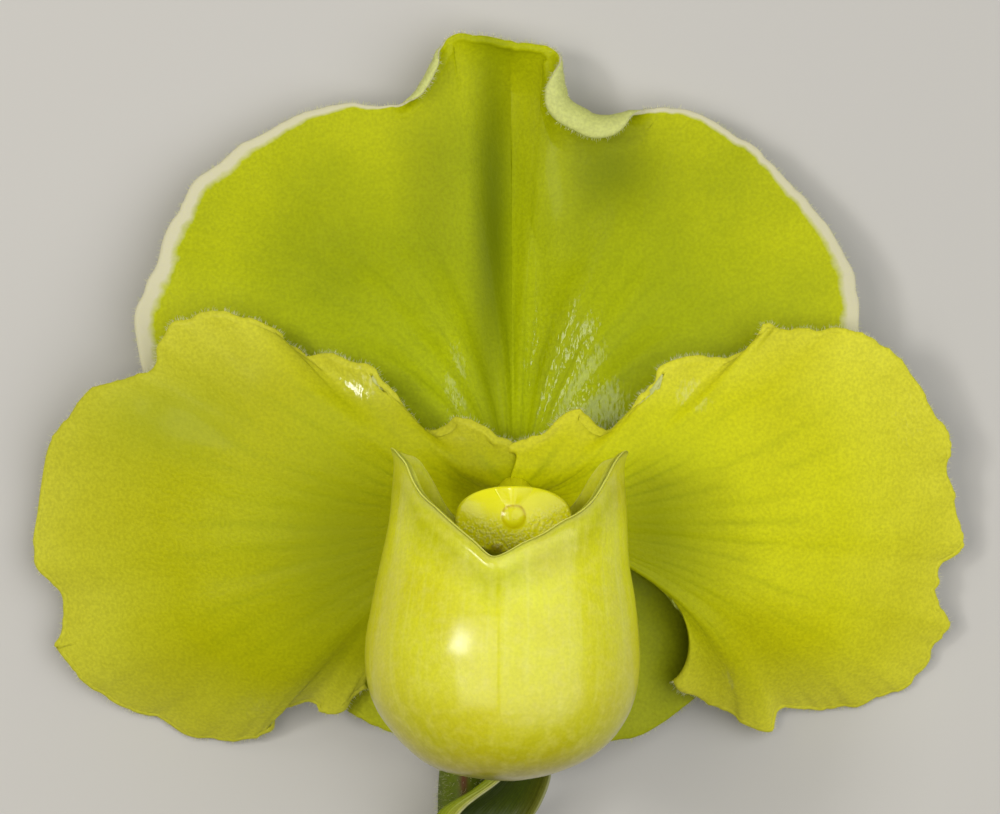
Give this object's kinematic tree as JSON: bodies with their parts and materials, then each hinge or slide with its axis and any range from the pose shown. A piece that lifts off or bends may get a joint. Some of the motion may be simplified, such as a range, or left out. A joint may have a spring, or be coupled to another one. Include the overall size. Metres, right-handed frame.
{
  "type": "paphiopedilum orchid bloom",
  "caption": "Slipper orchid bloom picked with a length of its stalk, lying face up: broad hooded sepal, waved petals and a hollow pouch round a shielded column.",
  "frame": {"origin": "centre of the bounding box on the surface the bloom lies on", "axes": "+Z out of the flower's face, +Y towards the tip of the upper sepal, with the stalk towards -Y, +X to the viewer's right"},
  "size_m": [0.122, 0.17, 0.0484],
  "materials": {
    "sepal": "waxy green sepal, fine crinkle",
    "petal": "waxy yellow-green petal, veined",
    "pouch": "smooth glossy yellow pouch",
    "column": "warty glistening yellow",
    "stalk": "green stalk with a coat of pale hairs",
    "bract": "smooth green bract, satin"
  },
  "bodies": {
    "root": {"dorsal_sepal": "sepal", "synsepal": "sepal", "petal_left": "petal", "petal_right": "petal", "pouch": "pouch", "staminode": "column", "column": "column", "anther_left": "column", "anther_right": "column", "stigma": "column", "ovary": "stalk", "scape": "stalk", "bract": "bract"}
  },
  "joints": []
}
